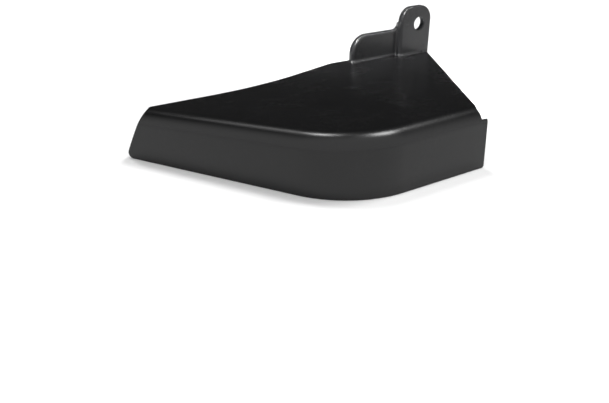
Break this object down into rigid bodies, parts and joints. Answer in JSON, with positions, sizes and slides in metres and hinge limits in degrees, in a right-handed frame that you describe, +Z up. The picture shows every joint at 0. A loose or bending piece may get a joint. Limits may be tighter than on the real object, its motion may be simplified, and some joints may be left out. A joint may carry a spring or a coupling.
{
  "type": "mud flap",
  "caption": "Corner mud flap: moulded panel with a rounded-over skirt on two sides, held by one bolt through an upright joggled tab.",
  "frame": {"origin": "on the bolt hole's axis at the lug's back face", "axes": "+Z up, square to the skirt's bottom edge; +Y along the bolt hole, pointing inboard, away from the lug's front face; +X along the tab and the side wall, from the front corner towards the side wall's free end"},
  "size_m": [0.265, 0.155, 0.068],
  "materials": {
    "black_plastic": "satin moulded black, very fine grain",
    "black_steel": "black-coated steel"
  },
  "bodies": {
    "root": {"guard_shell": "black_plastic", "mounting_tab": "black_plastic", "bolt_bush": "black_steel", "tab_gussets": "black_plastic", "root_rib": "black_plastic", "panel_ribs": "black_plastic"}
  },
  "joints": []
}
